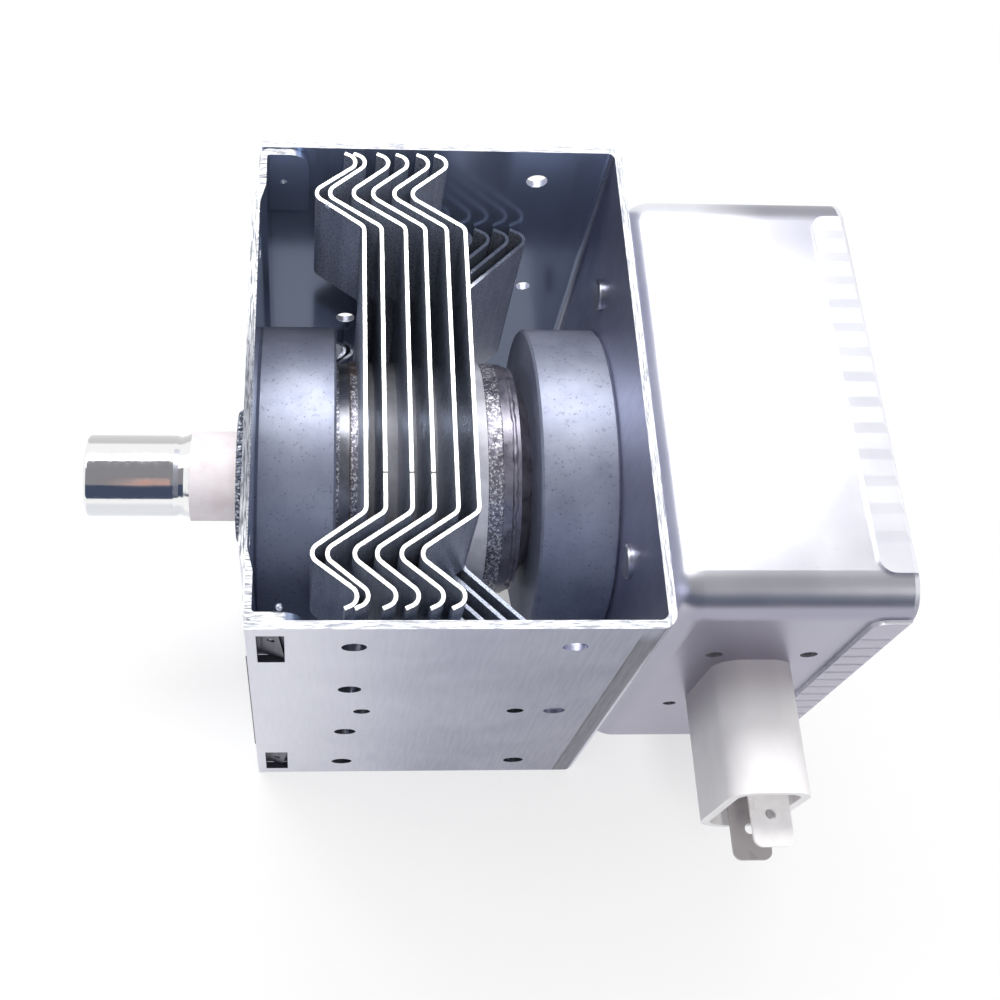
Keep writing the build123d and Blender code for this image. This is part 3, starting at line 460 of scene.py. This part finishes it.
def glazed_ceramic(name, stained):
    """Sintered alumina: pale, with a faint stain."""
    s = Surface(name)
    stain = s.noise(4.0, detail=4.0, roughness=0.6)
    grain = s.noise(0.3, detail=2.0, roughness=0.7)
    s.colour(s.tones(s.mask(stain, 0.35, 0.75), "e8e2e4", stained))
    s.rough(s.mask(grain, *USUAL, start=0.42, end=0.6))
    s.bump(grain, distance=0.01, strength=0.4)
    return s


def woven_mesh(name):
    """Knitted wire: bright strands over dark gaps."""
    s = Surface(name, metallic=1.0)
    weave = s.cells(0.7)
    dirt = s.noise(2.0, detail=3.0, roughness=0.6)
    s.colour(s.tones(s.mask(weave, 0.2, 0.6), "c4c8d2", "6a7080"))
    s.rough(s.mask(dirt, *USUAL, start=0.35, end=0.6))
    s.bump(weave, distance=0.3, strength=0.9)
    return s


# The box gets painted shade towards its far right corner, and where its normal turns to the near side
CORNER_SHADE_X = (72.0, 88.0)
CORNER_SHADE_Y = (6.0, 28.0)
BOX_NEAR_SIDE_SHADE = (-0.5, -0.97)


def drawn_steel(name, metallic, corner_shade, satin):
    """Deep-drawn bright steel of the filter box: drawing streaks, soft ripples, painted shade on its near
    side and far right corner.
    """
    s = Surface(name, metallic)
    streaks = s.noise((40.0, 0.6, 0.6), detail=3.0, roughness=0.6)
    ripples = s.noise((30.0, 9.0, 9.0), detail=2.0, roughness=0.5)
    haze = s.noise(11.0, detail=3.0, roughness=0.5)
    fine = s.noise((3.0, 0.5, 0.5), detail=4.0, roughness=0.7)
    tone = s.tones(s.mask(haze, *USUAL), "e4e5ed", "eeeff4")
    tone = s.tint(tone, s.mask(fine, 0.62, 0.8, end=0.2), "9a9cab")
    # Painted shade towards the far right corner
    corner_shade_mask = s.both(s.mask(s.coordinate("X"), *CORNER_SHADE_X), s.mask(s.coordinate("Y"), *CORNER_SHADE_Y, end=corner_shade))
    tone = s.tint(tone, corner_shade_mask, "8d8d98")
    # Painted shade on the near side
    s.colour(s.tint(tone, s.mask(s.normal("Y"), *BOX_NEAR_SIDE_SHADE), "a6a4b5"))
    s.rough(s.mask(haze, *USUAL, *satin))
    s.bump(streaks, distance=0.006, strength=0.4)
    s.bump(ripples, distance=0.2, strength=0.25)
    return s


# Painted shade on the shroud, from here to its root
ROOT_SHADE_Y = (-47.0, -38.0)


def moulded_plastic(name):
    """Off-white moulded shroud with a fine eroded texture and painted shade towards its root."""
    s = Surface(name)
    clouds = s.noise(6.0, detail=3.0, roughness=0.5)
    grit = s.noise(0.25, detail=2.0, roughness=0.6)
    tone = s.tones(s.mask(clouds, *USUAL), "f4f1f1", "f8f6f6")
    # Painted shade towards the root
    s.colour(s.tint(tone, s.mask(s.coordinate("Y"), *ROOT_SHADE_Y, end=0.9), "aaa4a9"))
    s.rough(s.mask(grit, *USUAL, start=0.4, end=0.52))
    s.bump(grit, distance=0.012, strength=0.4)
    return s


surfaces = {surface.name: surface for surface in (
    plated_steel("yoke_steel", "9fa1b6", "afb1c4", satin=(0.29, 0.41),
                 worn="9da1ad", dull=0.0, recess_shade="77798a"),
    plated_steel("plate_steel", "a4a8bc", "b4b8ca", satin=(0.31, 0.43),
                 worn="6f7380", dull=0.9, recess_shade="4a4d5a"),
    ferrite("magnet_ferrite"),
    anode_metal("anode_copper"),
    plain_metal("tube_steel", "7a7b82", "a9aab0", satin=(0.3, 0.45)),
    cup_metal("cup_steel"),
    plain_metal("inner_copper", "b06a48", "d48a62", satin=(0.25, 0.4)),
    glazed_ceramic("antenna_ceramic", stained="ddd2d3"),
    glazed_ceramic("stem_ceramic", stained="e6e2dc"),
    chrome("antenna_cap"),
    woven_mesh("gasket_mesh"),
    plain_metal("cathode_metal", "6c6c70", "97979c", satin=(0.35, 0.5)),
    drawn_steel("box_steel", metallic=0.95, corner_shade=0.9, satin=(0.3, 0.33)),
    drawn_steel("lid_steel", metallic=0.35, corner_shade=0.25, satin=(0.22, 0.26)),
    plain_metal("rivet_steel", "9a9ba4", "c0c1c8", satin=(0.3, 0.42)),
    moulded_plastic("connector_plastic"),
    tab_metal("terminal_metal"),
    plain_metal("choke_wire", "a86038", "c98052", satin=(0.22, 0.35)),
    ferrite("choke_ferrite"),
    fin_metal("fin_aluminium"),
)}

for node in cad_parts.values():
    for slot in node.material_slots:
        slot.material = surfaces[slot.material.name.split(".")[0]].material


def linked(name, data):
    """New object in the scene."""
    obj = bpy.data.objects.new(name, data)
    bpy.context.scene.collection.objects.link(obj)
    return obj


def dress(obj, slot):
    """Gives a new piece its surface and fixes it to the body."""
    obj.data.materials.append(surfaces[slot].material)
    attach(obj, "root")


# Rough brazing and solder, which the CAD model leaves smooth. Each has rows along X, its noises as pairs
# of size and share, how far it is sunk into the tube, and how far it stands up from there.
RING_COLUMNS = 240
RING_DEPTH = 1.2
ANODE_RADIUS = anode_high.z
BRAZE_ROWS = 14
BRAZE_GRAINS = ((0.45, 1.0), (1.1, 0.6))
BRAZE_SINK = 0.1
BRAZE_RELIEF = 0.16
BEAD_ROWS = 12
BEAD_GRAINS = ((1.6, 1.0), (0.6, 0.4))
BEAD_START = 3.7
BEAD_WIDTH = 1.9
BEAD_SINK = 1.1
BEAD_CROWN = 0.7
BEAD_RELIEF = 0.25
PATCH_ROWS = 12
PATCH_GRAINS = ((0.4, 1.0), (1.0, 0.7))
PATCH_START = 0.2
PATCH_WIDTH = 2.0
PATCH_START_ANGLE = -0.9
PATCH_END_ANGLE = 1.1
PATCH_FADE_ANGLE = 0.4
PATCH_SINK = 0.35
PATCH_HEIGHT = 0.45
PATCH_RELIEF = 0.2


def rough_ring(name, slot, start_x, width, rows, radius_at):
    """Closed ring round the tube whose outer radius varies with place along X and angle."""
    xs = [start_x + width * k / (rows - 1) for k in range(rows)]
    angles = [2 * pi * k / RING_COLUMNS for k in range(RING_COLUMNS)]
    inner = min(radius_at(x, angle) for x in xs for angle in angles) - RING_DEPTH
    rings = [(xs[0], None)] + [(x, x) for x in xs] + [(xs[-1], None)]
    points = []
    for x, outline_x in rings:
        for angle in angles:
            r = inner if outline_x is None else radius_at(x, angle)
            points.append((x * MM, -r * sin(angle) * MM, r * cos(angle) * MM))
    faces = []
    for ring in range(len(rings)):
        this = ring * RING_COLUMNS
        following = (ring + 1) % len(rings) * RING_COLUMNS
        for column in range(RING_COLUMNS):
            side = (column + 1) % RING_COLUMNS
            faces.append((this + column, following + column, following + side, this + side))
    mesh = bpy.data.meshes.new(name)
    mesh.from_pydata(points, [], faces)
    mesh.polygons.foreach_set("use_smooth", [True] * len(faces))
    dress(linked(name, mesh), slot)


def lumps(x, angle, grains):
    """Noise at a place on the tube, summed over its grains."""
    place = Vector((x, ANODE_RADIUS * sin(angle), ANODE_RADIUS * cos(angle)))
    return sum(share * noise.noise(place / size) for size, share in grains)


def clamped(value):
    """The value, kept from 0 to 1."""
    return min(max(value, 0), 1)


def step(value, low, high):
    """Smooth step from 0 at low to 1 at high."""
    t = clamped((value - low) / (high - low))
    return t * t * (3 - 2 * t)


def braze_radius(x, angle):
    return ANODE_RADIUS - BRAZE_SINK + BRAZE_RELIEF * lumps(x, angle, BRAZE_GRAINS)


def bead_radius(x, angle):
    across = clamped((x - anode_high.x - BEAD_START) / BEAD_WIDTH)
    crown = BEAD_CROWN * sin(pi * across)
    return cup_high.z - BEAD_SINK + crown + BEAD_RELIEF * lumps(x, angle, BEAD_GRAINS)


def patch_radius(x, angle):
    turn = angle if angle < pi else angle - 2 * pi
    rise = step(turn, PATCH_START_ANGLE, PATCH_START_ANGLE + PATCH_FADE_ANGLE)
    fall = step(-turn, -PATCH_END_ANGLE, PATCH_FADE_ANGLE - PATCH_END_ANGLE)
    height = PATCH_HEIGHT + PATCH_RELIEF * lumps(x, angle, PATCH_GRAINS)
    return ANODE_RADIUS - PATCH_SINK + rise * fall * height


rough_ring("braze_band", "cup_steel", anode_high.x, BRAZE_WIDTH, BRAZE_ROWS, braze_radius)
rough_ring("braze_bead", "cup_steel", anode_high.x + BEAD_START, BEAD_WIDTH, BEAD_ROWS, bead_radius)
rough_ring("solder_patch", "cup_steel", anode_low.x + PATCH_START, PATCH_WIDTH, PATCH_ROWS, patch_radius)

# Knitted wire of the gasket: two sets of turns wound round its section, left and right
GASKET_WIDTH = 1.95
GASKET_TAPER = 0.7
WIRE_RADIUS = 0.12
WIRE_TURNS = 66
TURN_POINTS = 16
CORNER_SHARPNESS = 1.35


def squared(value):
    """Flattens a sine wave so that a round path follows a square section."""
    return max(-1, min(1, CORNER_SHARPNESS * value))


def gasket_wire(name, hand):
    """One wire wound round the gasket's section all the way round the antenna."""
    curve = bpy.data.curves.new(name, "CURVE")
    curve.dimensions = "3D"
    curve.bevel_depth = WIRE_RADIUS * MM
    curve.bevel_resolution = 1
    count = WIRE_TURNS * TURN_POINTS
    half_r = GASKET_WIDTH / 2
    half_x = (gasket_high.x - gasket_low.x) / 2
    mid_r = gasket_high.z - half_r
    mid_x = (gasket_low.x + gasket_high.x) / 2
    spline = curve.splines.new("POLY")
    spline.points.add(count - 1)
    for k in range(count):
        around = 2 * pi * k / count
        section = hand * 2 * pi * k / TURN_POINTS
        across = squared(cos(section))
        along = squared(sin(section))
        r = mid_r + half_r * across - GASKET_TAPER * max(across, 0) * max(-along, 0)
        spline.points[k].co = ((mid_x + half_x * along) * MM, r * sin(around) * MM, r * cos(around) * MM, 1)
    spline.use_cyclic_u = True
    dress(linked(name, curve), "gasket_mesh")


gasket_wire("gasket_wire_right", 1)
gasket_wire("gasket_wire_left", -1)

# Burrs that shearing left on the first fin and on the tab beside it
BURR_RADIUS = 0.5
BURR_LUMPS = 0.35
BURR_FINENESS = 3
FIN_BURR_PLACE = (12.3, 28.3, 45.0)
TAB_BURR_PLACE = (6.0, -38.4, 45.0)


def burr(name, place):
    """Small lump of metal: a ball pushed in and out by noise."""
    bpy.ops.mesh.primitive_ico_sphere_add(subdivisions=BURR_FINENESS, radius=BURR_RADIUS * MM,
                                          location=Vector(place) * MM)
    obj = bpy.context.object
    obj.name = name
    for vertex in obj.data.vertices:
        vertex.co *= 1 + BURR_LUMPS * noise.noise(vertex.co / (BURR_RADIUS * MM))
    for face in obj.data.polygons:
        face.use_smooth = True
    dress(obj, "fin_aluminium")


burr("fin_burr", FIN_BURR_PLACE)
burr("tab_burr", TAB_BURR_PLACE)

# Floor of pale paper, which keeps the object's shadow and has painted shade close to the object. Its size
# and the reach of that painted shade are in metres, and its grain is in cells across the floor. Where less
# of the sky is open, a smaller share of plain white is mixed in, and more of the lit paper.
FLOOR_SIZE = 8.0
FLOOR_GRAIN = 300.0
FLOOR_ROUGHNESS = 0.9
SHADE_REACH = 0.12
SHADE_SAMPLES = 3
OPEN_SKY = (0.25, 0.95)
WHITE_SHARE = (0.42, 0.95)

bpy.ops.mesh.primitive_plane_add(size=FLOOR_SIZE, location=(0, 0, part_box("yoke_frame")[0].z))
floor = bpy.context.object
floor.name = "floor"
paper = Surface("floor_paper")
fibres = paper.add("ShaderNodeTexNoise")
fibres.inputs["Scale"].default_value = FLOOR_GRAIN
paper.feed(fibres.inputs["Vector"], paper.place.outputs["Generated"])
paper.colour(paper.tones(fibres.outputs[0], "f4f4f5", "fafafb"))
paper.rough(FLOOR_ROUGHNESS)
open_sky = paper.add("ShaderNodeAmbientOcclusion", samples=SHADE_SAMPLES)
open_sky.inputs["Distance"].default_value = SHADE_REACH
white_share = paper.both(paper.seen_or_mirrored(),
                         paper.ramp(open_sky.outputs["AO"], *OPEN_SKY, *WHITE_SHARE))
white = paper.add("ShaderNodeEmission")
shown = paper.add("ShaderNodeMixShader")
for socket, source in zip(shown.inputs, (white_share, paper.shader.outputs[0], white.outputs[0])):
    paper.feed(socket, source)
paper.feed(paper.tree.nodes["Material Output"].inputs["Surface"], shown.outputs[0])
floor.data.materials.append(paper.material)

# World: white where it is seen or mirrored, softer as a light
WORLD_LIGHT = 0.25
WORLD_SEEN = 1.0

world = bpy.data.worlds.new("studio")
bpy.context.scene.world = world
world.use_nodes = True
backdrop = Nodes(world.node_tree)
sky = world.node_tree.nodes["Background"]
sky.inputs["Color"].default_value = (1, 1, 1, 1)
backdrop.feed(sky.inputs["Strength"],
              backdrop.ramp(backdrop.seen_or_mirrored(), 0.0, 1.0, WORLD_LIGHT, WORLD_SEEN))


def softbox(name, place, target, size, power, mirrored=True):
    """Rectangular studio lamp aimed at a point; lengths are in metres."""
    lamp = bpy.data.lights.new(name, "AREA")
    lamp.shape = "RECTANGLE"
    lamp.size, lamp.size_y = size
    lamp.energy = power
    obj = linked(name, lamp)
    obj.location = place
    obj.rotation_euler = (Vector(target) - Vector(place)).to_track_quat("-Z", "Y").to_euler()
    obj.visible_glossy = mirrored


softbox("key_light", place=(-0.06, 0.43, 0.76), target=(0, 0, 0), size=(0.74, 0.24), power=6.7)
softbox("side_light", place=(0.7, -0.45, 0.45), target=(0.05, -0.03, 0), size=(0.4, 0.4), power=1.3)
softbox("antenna_light", place=(-0.5, 0.25, 0.6), target=(-0.02, 0, 0), size=(0.4, 0.4), power=1.1)
# Two soft fills that bright metal doesn't mirror; the second reaches down between the fins
softbox("front_light", place=(-0.1, -0.7, 0.9), target=(0.03, 0, 0), size=(0.5, 0.5), power=1.3,
        mirrored=False)
softbox("fin_light", place=(0.03, -0.4, 0.85), target=(0.03, 0, 0), size=(0.12, 0.3), power=2.4,
        mirrored=False)

# Cards that bright metal mirrors: a grey ceiling, and the dark side where the photographer stood.
# Their lengths are in metres and their angles in degrees.
CARD_RADIUS = 1.6
CARD_HALF_LENGTH = 1.5
CARD_STEP = 5


def card(name, start, end, code):
    """Curved card round the X axis, from one angle to another, counted from +Z towards -Y."""
    steps = (end - start) // CARD_STEP
    turns = [radians(start + CARD_STEP * k) for k in range(steps + 1)]
    points = [(x, -CARD_RADIUS * sin(turn), CARD_RADIUS * cos(turn))
              for turn in turns for x in (-CARD_HALF_LENGTH, CARD_HALF_LENGTH)]
    mesh = bpy.data.meshes.new(name)
    mesh.from_pydata(points, [], [(2 * k, 2 * k + 1, 2 * k + 3, 2 * k + 2) for k in range(steps)])
    obj = linked(name, mesh)
    material = bpy.data.materials.new(name)
    material.use_nodes = True
    nodes = Nodes(material.node_tree)
    glow = nodes.add("ShaderNodeEmission")
    glow.inputs["Color"].default_value = shade(code)
    nodes.feed(nodes.tree.nodes["Material Output"].inputs["Surface"], glow.outputs[0])
    mesh.materials.append(material)
    obj.visible_camera = False


card("ceiling_card", start=-25, end=50, code="8c8b8f")
card("front_card", start=50, end=105, code="454e64")

# Camera: the photograph's place, direction, angle of view and framing
PHOTO_SIZE = 1000
FOCAL_PIXELS = 1446.62
CENTRE_PIXEL = (404.48, 253.42)
SENSOR = 36.0
VIEW_PLACE = (9.83, -101.98, 241.95)
VIEW_RIGHT = (0.99785, -0.02081, 0.06213)
VIEW_DOWN = (0.01487, -0.8516, -0.52397)
VIEW_FORWARD = (0.06382, 0.52377, -0.84947)

lens = bpy.data.cameras.new("camera")
lens.sensor_width = SENSOR
lens.lens = FOCAL_PIXELS / PHOTO_SIZE * SENSOR
lens.shift_x = 0.5 - CENTRE_PIXEL[0] / PHOTO_SIZE
lens.shift_y = CENTRE_PIXEL[1] / PHOTO_SIZE - 0.5
camera = linked("camera", lens)
turn = Matrix((VIEW_RIGHT, -Vector(VIEW_DOWN), -Vector(VIEW_FORWARD))).transposed()
camera.matrix_world = Matrix.Translation(Vector(VIEW_PLACE) * MM) @ turn.to_4x4()
bpy.context.scene.camera = camera
bpy.context.scene.view_settings.view_transform = "Standard"
